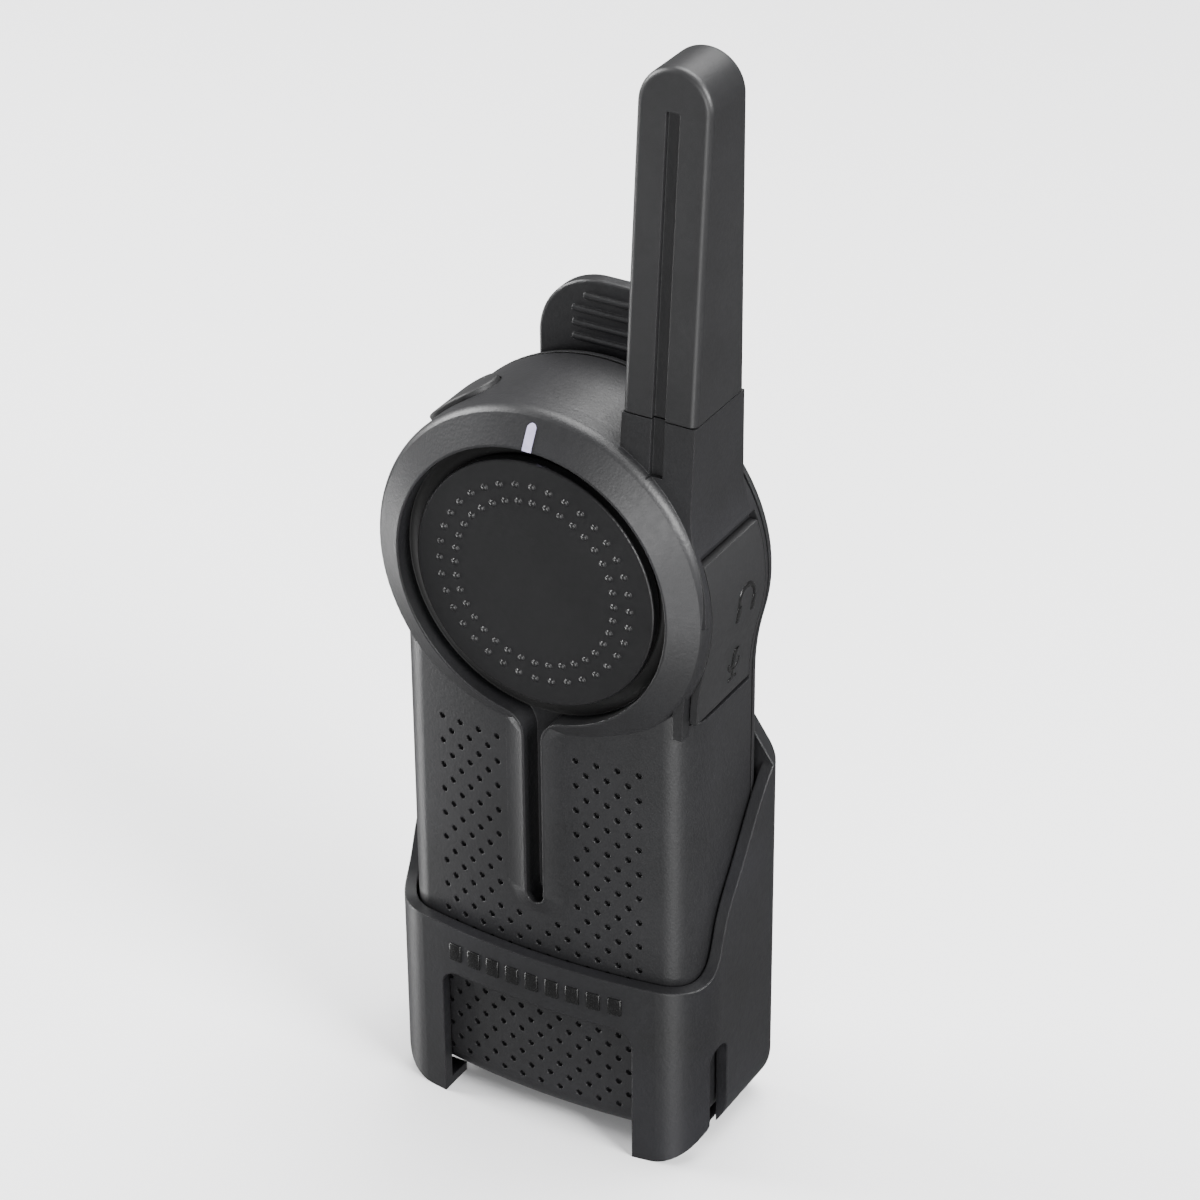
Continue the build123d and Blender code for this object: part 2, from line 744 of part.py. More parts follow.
# ---------------------------------------------------------------------------
# Main board on the four bosses, and what is soldered to it.
with BuildPart() as main_board:
    with BuildSketch(facing_front(board_back_y)):
        draw_outline(board_inset)
        with Locations(*boss_places):
            Circle(post_r + 0.15, mode=Mode.SUBTRACT)
    extrude(amount=board_t)
export(main_board.part, "main_board")

with BuildPart() as board_chips:
    for x, z, w, h, t in (
        (-9.0, head_z - 14, 9, 9, 1.2),
        (8.0, head_z - 30, 7, 10, 1.4),
        (-9.0, head_z - 36, 8, 5, 1.6),
        (2.0, head_z + 14, 6, 4, 1.0),
    ):
        with BuildSketch(facing_front(board_back_y + t)):
            with Locations((x, z)):
                Rectangle(w, h)
        extrude(amount=t)
export(board_chips.part, "board_chips")

with BuildPart() as ptt_switch:
    with BuildSketch(facing_front(board_y)):
        with Locations((0, head_z)):
            RectangleRounded(6.0, 6.0, 0.6)
    extrude(amount=switch_t)
    with BuildSketch(facing_front(board_y - switch_t)):
        with Locations((0, head_z)):
            Circle(1.6)
    extrude(amount=switch_dome_h)
export(ptt_switch.part, "ptt_switch")

with BuildPart() as speaker_mesh:
    with BuildSketch(facing_front(speaker_front_y + mesh_t)):
        with Locations((0, speaker_z)):
            Circle(speaker_r)
    extrude(amount=mesh_t)
export(speaker_mesh.part, "speaker_mesh")

with BuildPart() as speaker:
    speaker_y = speaker_front_y + mesh_t
    with BuildSketch(facing_front(speaker_y + 1.8)):
        with Locations((0, speaker_z)):
            Circle(speaker_r)
    extrude(amount=1.8)
    with BuildSketch(facing_front(speaker_y + 0.9)):
        with Locations((0, speaker_z)):
            Circle(speaker_r - 1.5)
    extrude(amount=0.9, mode=Mode.SUBTRACT)
    with BuildSketch(facing_front(speaker_y + speaker_t)):
        with Locations((0, speaker_z)):
            Circle(speaker_r * 0.6)
    extrude(amount=speaker_t - 1.8)
    with Locations(Plane(origin=(0, speaker_y + 0.9, speaker_z), z_dir=(0, -1, 0))):
        Sphere(4.0)
    with BuildSketch(facing_front(speaker_y)):
        with Locations((0, speaker_z)):
            Circle(speaker_r)
    extrude(amount=10, mode=Mode.SUBTRACT)
    with Locations(Plane(origin=(0, speaker_y + speaker_t, speaker_z), z_dir=(0, 1, 0))):
        Cylinder(far, far, align=(Align.CENTER, Align.CENTER, Align.MIN), mode=Mode.SUBTRACT)
export(speaker.part, "speaker")

with BuildPart() as microphone:
    with BuildSketch(facing_front(board_y)):
        with Locations((0, head_z - groove_end + groove_w / 2)):
            Circle(2.0)
    extrude(amount=board_y - pan_y - 0.1)
export(microphone.part, "microphone")

# Socket block: two blind jack bores in line with the plug holes.
socket_face_x = half_w - cover_t - cover_gap - cover_pad_t - 1.2
with BuildPart() as jack_socket:
    top_z = head_z + socket_z + plug_hole_r
    low_z = head_z + socket_z - socket_spacing - plug_hole_r
    with BuildSketch(Plane.YZ.offset(socket_face_x)):
        with Locations(((board_back_y + socket_y + 3.6) / 2, (top_z + low_z) / 2)):
            Rectangle(socket_y + 3.6 - board_back_y, top_z - low_z)
    extrude(amount=-(jack_depth + 1.5))
    for (y, z), r in zip(socket_places, (big_jack_r, small_jack_r)):
        with Locations(Plane(origin=(socket_face_x, y, z), z_dir=(1, 0, 0))):
            Cylinder(3.2, 1.0, align=(Align.CENTER, Align.CENTER, Align.MIN))
            Cylinder(r, 1.0 + jack_depth, align=(Align.CENTER, Align.CENTER, Align.MAX),
                     mode=Mode.SUBTRACT)
            Cylinder(r, 3.0, mode=Mode.SUBTRACT)
export(jack_socket.part, "jack_socket")

# Side switches: one for each side key and one for the top key.
plunger_end_x = -(half_w - cover_t - cover_gap - 1.0)
with BuildPart() as side_switches:
    for drop in key_heights.values():
        with BuildSketch(Plane.XZ.offset(-board_back_y)):
            with Locations((plunger_end_x + key_travel + switch_gap, head_z + drop)):
                Rectangle(3.4, 3.6, align=(Align.MIN, Align.CENTER))
        extrude(amount=-2.4)
    with BuildSketch(top_key_plane.offset(head_r - board_inset - 2.6)):
        with Locations((board_back_y + 1.2 - key_y, 0)):
            Rectangle(2.4, 3.6)
    extrude(amount=2.4)
export(side_switches.part, "side_switches")

# ---------------------------------------------------------------------------
# Keys.  Caps stand a little proud of the skin and are held behind the wall by a flange.
for name, drop in key_heights.items():
    reach = key_len / 2 + key_flange
    flange_x = -(min(side_x(abs(drop - reach)), side_x(abs(drop + reach))) - wall - 0.3)
    key_plane = Plane(origin=(0, key_y, head_z + drop), x_dir=(0, 0, 1), z_dir=(-1, 0, 0))
    with BuildPart() as key:
        with BuildSketch(key_plane.offset(-flange_x)):
            RectangleRounded(key_len, key_w, 1.2)
        extrude(amount=10)
        with BuildSketch(facing_front(key_y + key_w)):
            draw_outline(-key_proud)
        extrude(amount=2 * key_w, mode=Mode.INTERSECT)
        outer_face = key.faces().sort_by(Axis.X)[0]
        fillet(outer_face.edges(), 0.45)
        with BuildSketch(key_plane.offset(-flange_x)):
            RectangleRounded(key_len + 2 * key_flange, key_w + 2 * key_flange, 1.2)
        extrude(amount=-0.5)
        with BuildSketch(key_plane.offset(-flange_x)):
            Circle(1.0)
        extrude(amount=-(abs(flange_x) - abs(plunger_end_x)))
    export(key.part, name)

with BuildPart() as top_button:
    cap_r = head_r - wall
    with BuildSketch(top_key_plane.offset(cap_r - 0.3)):
        SlotOverall(top_key_len, top_key_w, rotation=90)
    extrude(amount=6)
    with BuildSketch(facing_front(key_y + top_key_w)):
        with Locations((0, head_z)):
            Circle(head_r + key_proud + 0.2)
    extrude(amount=2 * top_key_w, mode=Mode.INTERSECT)
    fillet(
        top_button.edges().filter_by(
            lambda e: sqrt(e.center().X ** 2 + (e.center().Z - head_z) ** 2) > head_r - 0.4
        ),
        0.4,
    )
    with BuildSketch(top_key_plane.offset(cap_r - 2.2)):
        SlotOverall(top_key_len - 1.0, top_key_w - 2.0, rotation=90)
    extrude(amount=2.0)
    with BuildSketch(top_key_plane.offset(cap_r - 2.0)):
        Circle(1.0)
    extrude(amount=-(cap_r - 2.0 - (head_r - board_inset - 0.2) - key_travel - switch_gap))
export(top_button.part, "top_button")

# ---------------------------------------------------------------------------
# Accessory cover: follows the side's skin, hinged on a soft strap at its lower edge.
with BuildPart() as accessory_cover:
    add(side_band(0.0, cover_t, hinge_z, cover_top_z, cover_front, cover_back))
    with Locations(Plane(origin=(hinge_x, cover_back, hinge_z), z_dir=(0, -1, 0))):
        Cylinder(cover_t / 2, cover_len_y, align=(Align.CENTER, Align.CENTER, Align.MIN))
    for y, z in socket_places:
        with Locations(Plane(origin=(side_x(head_z - z, cover_t) + 0.3, y, z), z_dir=(-1, 0, 0))):
            Cylinder(2.2, 1.8, align=(Align.CENTER, Align.CENTER, Align.MIN))
export(accessory_cover.part, "accessory_cover")

# ---------------------------------------------------------------------------
# Battery, its contacts, the door and the sliding latch.
with BuildPart() as battery_pack:
    with BuildSketch(facing_front(door_y - bay_gap)):
        with Locations((0, bay_mid)):
            RectangleRounded(battery_w, battery_h, 1.5)
    extrude(amount=battery_t)
    fillet(battery_pack.edges().group_by(Axis.Y)[0] + battery_pack.edges().group_by(Axis.Y)[-1], 0.6)
export(battery_pack.part, "battery_pack")

with BuildPart() as battery_contacts:
    with Locations(Plane.XY.offset(radio_z + battery_up + battery_h)):
        with Locations(*[(x, (bay_floor_y + door_y) / 2) for x in (-5, 0, 5)]):
            Cylinder(0.7, bay_wall + 2.0, align=(Align.CENTER, Align.CENTER, Align.MIN))
export(battery_contacts.part, "battery_contacts")

with BuildPart() as battery_door:
    with BuildSketch(facing_front(back_y)):
        with Locations((0, bay_mid)):
            RectangleRounded(door_w - 2 * door_gap, door_h - 2 * door_gap, 0.9)
    extrude(amount=door_t - 0.02)
    with BuildSketch(facing_front(back_y)):
        with Locations((0, bay_mid + door_h / 2)):
            Rectangle(latch_w * 0.6, 2.4)
    extrude(amount=latch_depth, mode=Mode.SUBTRACT)
    # grip lines across the door's foot
    with BuildSketch(facing_front(back_y)):
        with Locations(*[(0, bay_low + 4 + 2.0 * i) for i in range(5)]):
            Rectangle(16, 0.8)
    extrude(amount=0.4, mode=Mode.SUBTRACT)
export(battery_door.part, "battery_door")

with BuildPart() as battery_latch:
    with BuildSketch(facing_front(back_y - 0.1)):
        with Locations((0, latch_low)):
            Rectangle(latch_w, latch_h, align=(Align.CENTER, Align.MIN))
        with Locations((0, latch_low - 0.9)):
            Rectangle(latch_w * 0.5, 1.2, align=(Align.CENTER, Align.MIN))
    extrude(amount=latch_depth - 0.2)
    with BuildSketch(facing_front(back_y - 0.1)):
        with Locations(*[(0, latch_low + 1.2 + 1.2 * i) for i in range(3)]):
            Rectangle(latch_w - 2, 0.5)
    extrude(amount=0.3, mode=Mode.SUBTRACT)
export(battery_latch.part, "battery_latch")

with BuildPart() as charging_contacts:
    with Locations(*[Location((x, contact_y, radio_z)) for x in contact_xs]):
        Cylinder(contact_r, wall + 0.8, align=(Align.CENTER, Align.CENTER, Align.MIN))
export(charging_contacts.part, "charging_contacts")

# ---------------------------------------------------------------------------
# Holster: a cup that follows the radio's section, with a window, side slots,
# swept side walls and a spine that carries the release tab and the swivel.
cup_back_y = back_y + spine_gap
shell_back_y = cup_back_y + spine_t
spine_half = spine_w / 2
side_out_x = half_w + holster_gap + holster_wall
shoulder_z = side_back_h + shoulder_h
swivel_back_y = shell_back_y + swivel_gap + swivel_t
clip_face_y = swivel_back_y + clip_base_t


def cup_form(grow, low_z, back_grow):
    """Block with the radio's plan and rounded lower corners, 'grow' outside its skin."""
    corner = bottom_corner_r + grow
    with BuildPart() as form:
        with BuildSketch(Plane.XY.offset(low_z)):
            draw_section(grow)
            with Locations((0, 0)):
                Rectangle(2 * (half_w + grow), back_y + back_grow, align=(Align.CENTER, Align.MIN))
        extrude(amount=far)
        with BuildSketch(facing_front(far / 2)):
            with Locations((0, low_z)):
                Rectangle(2 * (half_w + grow), 2 * far, align=(Align.CENTER, Align.MIN))
            fillet(vertices().group_by(Axis.Y)[0], corner)
        extrude(amount=far, mode=Mode.INTERSECT)
    return form.part


with BuildPart() as holster_shell:
    add(cup_form(holster_gap + holster_wall, 0.0, spine_gap + spine_t))
    fillet(
        holster_shell.edges().filter_by(Axis.Z).group_by(Axis.Y)[-1], 2.0
    )
    add(cup_form(holster_gap, floor_t, spine_gap), mode=Mode.SUBTRACT)
    # the side walls sweep up from the front lip to the back
    with BuildSketch(Plane.YZ):
        with BuildLine():
            lip_end_y = front_y + sweep_start
            rise = side_back_h - lip_front_h
            run = cup_back_y - lip_end_y
            lip = Line((-far, lip_front_h), (lip_end_y, lip_front_h))
            sweep_up = Spline(
                lip @ 1,
                (lip_end_y + 0.333 * run, lip_front_h + 0.3 * rise),
                (lip_end_y + 0.545 * run, lip_front_h + 0.548 * rise),
                (cup_back_y, side_back_h),
                tangents=((1, 0), (1, 0.9)),
            )
            Polyline(sweep_up @ 1, (cup_back_y, far), (-far, far), lip @ 0)
        make_face()
    extrude(amount=far / 2, both=True, mode=Mode.SUBTRACT)
    # the back wall narrows into the spine
    with BuildSketch(facing_front(shell_back_y)):
        with Locations((0, side_back_h)):
            Rectangle(far, far, align=(Align.CENTER, Align.MIN))
        with BuildLine():
            Polyline(
                (-side_out_x, side_back_h), (side_out_x, side_back_h),
                (spine_half, shoulder_z), (spine_half, far), (-spine_half, far),
                (-spine_half, shoulder_z), (-side_out_x, side_back_h),
            )
        make_face(mode=Mode.SUBTRACT)
    extrude(amount=far, mode=Mode.SUBTRACT)
    with BuildSketch(facing_front(shell_back_y)):
        with Locations((0, side_back_h - 1)):
            Rectangle(spine_w, spine_h - side_back_h + 1, align=(Align.CENTER, Align.MIN))
    extrude(amount=spine_t)
    with BuildSketch(Plane.XY.offset(spine_h)):
        Rectangle(far, far)
    extrude(amount=far, mode=Mode.SUBTRACT)
    # window for the sound, open at the bottom
    with BuildSketch(facing_front(front_y + window_depth)):
        with Locations((0, window_h)):
            Rectangle(window_w, window_h + 10, align=(Align.CENTER, Align.MAX))
        fillet(vertices().group_by(Axis.Y)[-1], window_corner_r)
    extrude(amount=30, mode=Mode.SUBTRACT)
    # side slots, open at the bottom
    with BuildSketch(Plane.YZ):
        with Locations((side_slot_y, side_slot_h - side_slot_w / 2)):
            Circle(side_slot_w / 2)
        with Locations((side_slot_y, -1)):
            Rectangle(
                side_slot_w, side_slot_h - side_slot_w / 2 + 1, align=(Align.CENTER, Align.MIN)
            )
    extrude(amount=far / 2, both=True, mode=Mode.SUBTRACT)
    with Locations(Plane(origin=(0, cup_back_y, swivel_z), z_dir=(0, -1, 0))):
        CounterSinkHole(swivel_screw_r, swivel_head_r, depth=10)
export(holster_shell.part, "holster_shell")

with BuildPart() as release_tab:
    tab_low = spine_h + tab_gap
    with BuildSketch(facing_front(cup_back_y + tab_t)):
        with Locations((0, tab_low)):
            Rectangle(spine_w, tab_top - tab_low, align=(Align.CENTER, Align.MIN))
        fillet(vertices().group_by(Axis.Y)[-1], tab_corner_r)
    extrude(amount=tab_t)
    fillet(release_tab.edges().filter_by(lambda e: e.center().Z > tab_low + 1).filter_by(
        lambda e: e.center().Y < cup_back_y + 0.1 or e.center().Y > cup_back_y + tab_t - 0.1), 0.5)
    for drop in rib_drops:
        length = rib_w if drop > rib_drops[-1] else rib_w * 0.7
        with Locations(Plane(origin=(0, cup_back_y, tab_top - drop), z_dir=(1, 0, 0))):
            Cylinder(rib_t / 2, length)
export(release_tab.part, "release_tab")

# ---------------------------------------------------------------------------
# Swivel and clip on the holster's back.
with BuildPart() as swivel_screw:
    head_t = swivel_head_r - swivel_screw_r
    with Locations(Plane(origin=(0, cup_back_y + 0.1, swivel_z), z_dir=(0, 1, 0))):
        Cone(swivel_head_r - 0.1, swivel_screw_r, head_t,
             align=(Align.CENTER, Align.CENTER, Align.MIN))
        Cylinder(swivel_screw_r, clip_face_y - cup_back_y - 0.8,
                 align=(Align.CENTER, Align.CENTER, Align.MIN))
    with Locations(Plane(origin=(0, cup_back_y + 0.1, swivel_z), z_dir=(0, -1, 0))):
        Box(2.6, 0.6, 1.0, mode=Mode.SUBTRACT)
        Box(0.6, 2.6, 1.0, mode=Mode.SUBTRACT)
export(swivel_screw.part, "swivel_screw")

with BuildPart() as swivel_nut:
    with BuildSketch(facing_front(clip_face_y - 0.2)):
        with Locations((0, swivel_z)):
            RegularPolygon(swivel_nut_r, 6)
            Circle(swivel_screw_r, mode=Mode.SUBTRACT)
    extrude(amount=1.6)
export(swivel_nut.part, "swivel_nut")

with BuildPart() as swivel_disc:
    with BuildSketch(facing_front(swivel_back_y)):
        with Locations((0, swivel_z)):
            Circle(swivel_r)
            Circle(swivel_screw_r + turning_gap, mode=Mode.SUBTRACT)
    extrude(amount=swivel_t)
    with BuildSketch(facing_front(shell_back_y)):
        with Locations((0, swivel_z)):
            with PolarLocations(swivel_r - 2.2, 12):
                Circle(0.9)
    extrude(amount=-1.0, mode=Mode.SUBTRACT)
export(swivel_disc.part, "swivel_disc")

coil_r = pin_r + spring_wire_r + spring_bore_gap
pin_y = clip_face_y + belt_gap - coil_r - spring_wire_r - spring_play
pin_z = swivel_z + pin_up
ear_r = 4.0
ear_x = clip_w / 2 - ear_t
with BuildPart() as clip_base:
    with BuildSketch(facing_front(clip_face_y)):
        with Locations((0, swivel_z - clip_bottom)):
            Rectangle(clip_w, clip_top + clip_bottom, align=(Align.CENTER, Align.MIN))
        fillet(vertices(), 3.0)
    extrude(amount=clip_base_t)
    fillet(clip_base.faces().sort_by(Axis.Y)[-1].edges(), 0.5)
    with BuildSketch(Plane.YZ.offset(-clip_w / 2)):
        with Locations((pin_y, pin_z)):
            Circle(ear_r)
        with Locations((clip_face_y - 1.0, pin_z)):
            Rectangle(pin_y - clip_face_y + 1.0, 2 * ear_r, align=(Align.MIN, Align.CENTER))
    extrude(amount=clip_w)
    with Locations((0, pin_y + 1.0, pin_z)):
        Box(2 * ear_x, 2 * (pin_y + 1.0 - clip_face_y), 2 * ear_r + 2, mode=Mode.SUBTRACT)
    with BuildSketch(Plane.YZ.offset(-clip_w / 2)):
        with Locations((pin_y, pin_z)):
            Circle(pin_r)
    extrude(amount=clip_w, mode=Mode.SUBTRACT)
    with Locations(Plane(origin=(0, clip_face_y, swivel_z), z_dir=(0, -1, 0))):
        Cylinder(swivel_nut_r + 0.5, 1.9, align=(Align.CENTER, Align.CENTER, Align.MIN),
                 mode=Mode.SUBTRACT)
        Cylinder(swivel_screw_r + turning_gap, 10, align=(Align.CENTER, Align.CENTER, Align.MIN),
                 mode=Mode.SUBTRACT)
export(clip_base.part, "clip_base")

with BuildPart() as clip_pin:
    with BuildSketch(Plane.YZ.offset(-clip_w / 2)):
        with Locations((pin_y, pin_z)):
            Circle(pin_r)
    extrude(amount=clip_w)
export(clip_pin.part, "clip_pin")

# The lever is one moulded bar: thumb pad at the top, barrel on the pin, hook at the foot.
lever_in_y = clip_face_y + belt_gap
lever_out_y = lever_in_y + lever_t
lever_w = 2 * (ear_x - ear_gap)
barrel_r = pin_r + 1.6
with BuildPart() as clip_lever:
    with BuildSketch(Plane.YZ.offset(-lever_w / 2)):
        with BuildLine():
            foot_z = swivel_z - lever_bottom
            thumb_z = swivel_z + lever_top
            inner = Polyline(
                (clip_face_y + 1.0, foot_z + 1.0), (clip_face_y + 1.0, foot_z + 3.0),
                (lever_in_y, foot_z + 8.0), (lever_in_y, pin_z + 3.0),
                (lever_in_y + 1.2, thumb_z),
            )
            Polyline(
                inner @ 1, (lever_out_y + 1.2, thumb_z), (lever_out_y, pin_z + 3.0),
                (lever_out_y, foot_z + 4.0), (lever_out_y - 3.0, foot_z), inner @ 0,
            )
        make_face()
    extrude(amount=lever_w)
    fillet(clip_lever.edges().filter_by(Axis.Y).group_by(Axis.Z)[-1], 4.0)
    with BuildSketch(Plane.YZ.offset(-lever_w / 2)):
        with Locations((pin_y, pin_z)):
            Circle(barrel_r)
        with Locations((pin_y, pin_z)):
            Rectangle(lever_in_y - pin_y + 0.5, 2 * barrel_r, align=(Align.MIN, Align.CENTER))
    extrude(amount=lever_w)
    with Locations((0, (pin_y - barrel_r - 1 + lever_in_y) / 2, pin_z)):
        Box(lever_w - 5.0, lever_in_y - pin_y + barrel_r + 1, 2 * barrel_r + 2, mode=Mode.SUBTRACT)
    with BuildSketch(Plane.YZ.offset(-lever_w / 2)):
        with Locations((pin_y, pin_z)):
            Circle(pin_r + turning_gap)
    extrude(amount=lever_w, mode=Mode.SUBTRACT)
    # thumb grooves
    with Locations(*[
        Location((0, lever_out_y + 0.7 + 0.08 * i, thumb_z - 9 + 2.2 * i)) for i in range(4)
    ]):
        Box(lever_w - 5, 1.0, 0.9, mode=Mode.SUBTRACT)
export(clip_lever.part, "clip_lever")

coil_half = lever_w / 2 - 2.5 - 0.6
with BuildPart() as clip_spring:
    coil = Helix(
        pitch=2 * coil_half / spring_turns, height=2 * coil_half, radius=coil_r,
        center=(-coil_half, pin_y, pin_z), direction=(1, 0, 0),
    ).rotate(Axis((0, pin_y, pin_z), (1, 0, 0)), -90)
    with BuildSketch(Plane(origin=coil @ 0, z_dir=coil % 0)):
        Circle(spring_wire_r)
    sweep(path=coil, is_frenet=True)
    # one leg bears on the lever, the other on the base, both below the pin
    for end, leg_y in ((coil @ 0, lever_in_y - 0.5), (coil @ 1, clip_face_y + 0.5)):
        leg = Line(end, (end.X, leg_y, pin_z - 8.0), mode=Mode.PRIVATE)
        with BuildSketch(Plane(origin=leg @ 0, z_dir=leg % 0)):
            Circle(spring_wire_r)
        extrude(amount=leg.length)
        with Locations(end):
            Sphere(spring_wire_r)
export(clip_spring.part, "clip_spring")
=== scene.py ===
from math import asin, cos, pi, radians, sin, sqrt

import bpy
from mathutils import Matrix, Vector


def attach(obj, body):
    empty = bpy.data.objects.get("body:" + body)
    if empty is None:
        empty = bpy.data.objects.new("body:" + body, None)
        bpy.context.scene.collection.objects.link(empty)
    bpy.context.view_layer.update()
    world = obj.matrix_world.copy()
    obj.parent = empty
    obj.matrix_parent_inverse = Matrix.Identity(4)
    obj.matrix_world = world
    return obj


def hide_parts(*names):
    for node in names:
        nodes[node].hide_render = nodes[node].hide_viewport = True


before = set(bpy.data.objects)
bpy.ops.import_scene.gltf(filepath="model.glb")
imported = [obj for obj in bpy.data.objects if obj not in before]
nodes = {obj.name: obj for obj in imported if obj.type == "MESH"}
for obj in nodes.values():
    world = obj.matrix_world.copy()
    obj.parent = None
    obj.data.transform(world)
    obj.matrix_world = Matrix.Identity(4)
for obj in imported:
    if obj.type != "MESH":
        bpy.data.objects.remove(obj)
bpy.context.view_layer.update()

MM = 0.001

# ---- Camera and studio ----
# The radio stands on a pale paper sweep, seen from its front right and from above, with a
# long lens.  Four softboxes light it from above, and two weak ones through the sheet.
azimuth, elevation, roll = radians(30.322), radians(30.888), radians(-0.449)
camera_distance = 570.4 * MM
camera_aside = 9.46 * MM
camera_sink = 2.22 * MM
button_centre = Vector((0, -10.9, 96)) * MM

backwards = Vector((sin(azimuth) * cos(elevation), -cos(azimuth) * cos(elevation), sin(elevation)))
level_right = Vector((cos(azimuth), sin(azimuth), 0))
level_up = backwards.cross(level_right)
camera_right = cos(roll) * level_right + sin(roll) * level_up
camera_up = cos(roll) * level_up - sin(roll) * level_right
camera_place = (
    button_centre
    + camera_distance * backwards
    + camera_aside * camera_right
    - camera_sink * camera_up
)
bpy.ops.object.camera_add()
camera = bpy.context.object
camera.data.sensor_width = 36
camera.data.lens = 120
camera.data.clip_start = 10 * MM
turn = Matrix((camera_right, camera_up, backwards)).transposed()
camera.matrix_world = Matrix.Translation(camera_place) @ turn.to_4x4()
bpy.context.scene.camera = camera


def linear(hex_colour):
    """Linear RGBA of an sRGB hex colour."""
    parts = [int(hex_colour[i : i + 2], 16) / 255 for i in (1, 3, 5)]
    return tuple(c / 12.92 if c <= 0.04045 else ((c + 0.055) / 1.055) ** 2.4 for c in parts) + (1,)


def softbox(name, place, aim, size, power):
    """Square studio light that faces 'aim'."""
    bpy.ops.object.light_add(type="AREA", location=place)
    light = bpy.context.object
    light.name = name
    light.data.size = size
    light.data.energy = power
    light.rotation_euler = (Vector(place) - Vector(aim)).to_track_quat("Z", "Y").to_euler()


middle = (0, 0, 90 * MM)
softbox("right_softbox", (0.85, -0.2, 0.6), middle, 0.4, 22)
softbox("left_softbox", (-0.8, -0.1, 0.45), middle, 0.35, 14)
softbox("top_softbox", (0.05, 0.35, 1.0), middle, 0.8, 26)
softbox("front_softbox", (0.3, -0.95, 0.2), middle, 0.35, 7)
softbox("table_light_front", (0.4, -0.7, -0.28), middle, 0.25, 2.2)
softbox("table_light_left", (-0.78, -0.2, -0.3), middle, 0.25, 3.5)

world = bpy.context.scene.world or bpy.data.worlds.new("studio")
bpy.context.scene.world = world
world.use_nodes = True
world.node_tree.nodes["Background"].inputs["Color"].default_value = linear("#f4f4f6")
world.node_tree.nodes["Background"].inputs["Strength"].default_value = 0.28


def node(tree, kind, settings=None, **inputs):
    """Adds a shader node: its settings, then each input by name, as a value or a link."""
    new = tree.nodes.new(kind)
    for key, value in (settings or {}).items():
        setattr(new, key, value)
    for key, value in inputs.items():
        socket = new.inputs[key.replace("_", " ")]
        if isinstance(value, bpy.types.NodeSocket):
            tree.links.new(value, socket)
        else:
            socket.default_value = value
    return new


def two_tones(tree, amount, dark, light):
    """Colour between two sRGB hex colours, by a pattern's value."""
    tones = tree.nodes.new("ShaderNodeMix")
    tones.data_type = "RGBA"
    tree.links.new(amount, tones.inputs["Factor"])
    low, high = [socket for socket in tones.inputs if socket.type == "RGBA"]
    low.default_value = linear(dark)
    high.default_value = linear(light)
    return tones.outputs["Result"]


def new_material(name):
    """Empty material and its tree."""
    material = bpy.data.materials.new(name)
    material.use_nodes = True
    material.node_tree.nodes.clear()
    return material, material.node_tree


paper, tree = new_material("matt_paper")
# Matt cartridge paper: no gloss at all, so the sheet stays an even pale tone.  It neither
# mirrors in the black plastic nor stops the two lights below it.
fibre_size = 1.111 * MM
place = node(tree, "ShaderNodeTexCoord").outputs["Object"]
fibre = node(tree, "ShaderNodeTexNoise", Vector=place, Scale=1 / fibre_size, Detail=3.0)
press = node(tree, "ShaderNodeBump", Height=fibre.outputs["Fac"], Strength=0.05, Distance=0.1 * MM)
sheet = node(
    tree, "ShaderNodeBsdfPrincipled", Base_Color=linear("#f6f6f7"), Roughness=0.95,
    Normal=press.outputs["Normal"],
)
node(tree, "ShaderNodeOutputMaterial", Surface=sheet.outputs["BSDF"])
bpy.ops.object.select_all(action="DESELECT")
bpy.ops.mesh.primitive_plane_add(size=8)
floor = bpy.context.object
floor.name = "paper_sweep"
floor.data.materials.append(paper)
floor.visible_glossy = False
floor.visible_shadow = False


# ---- Front housing ----
# One injection moulding in a black polycarbonate blend.  Its bezel and sides have a fine
# leather-like tool grain, and its panel has rows of blind sound dimples beside the ridge.
panel_y = -11.3 * MM
bow_r = 118 * MM
head_z = 96 * MM
head_r = 27.4 * MM
dimple_r = 0.62 * MM
dimple_depth = 0.75 * MM
dimple_column = 1.67 * MM
dimple_row = 4.33 * MM
dimple_low = 7.6 * MM
dimple_high = 70 * MM
ridge_half = 5 * MM
ridge_foot_z = 43.5 * MM
dimple_margin = 1.1 * MM
outer_column = 10
cloud_size = 18.182 * MM
same_place = 0.002 * MM
bow_slack = 0.03 * MM


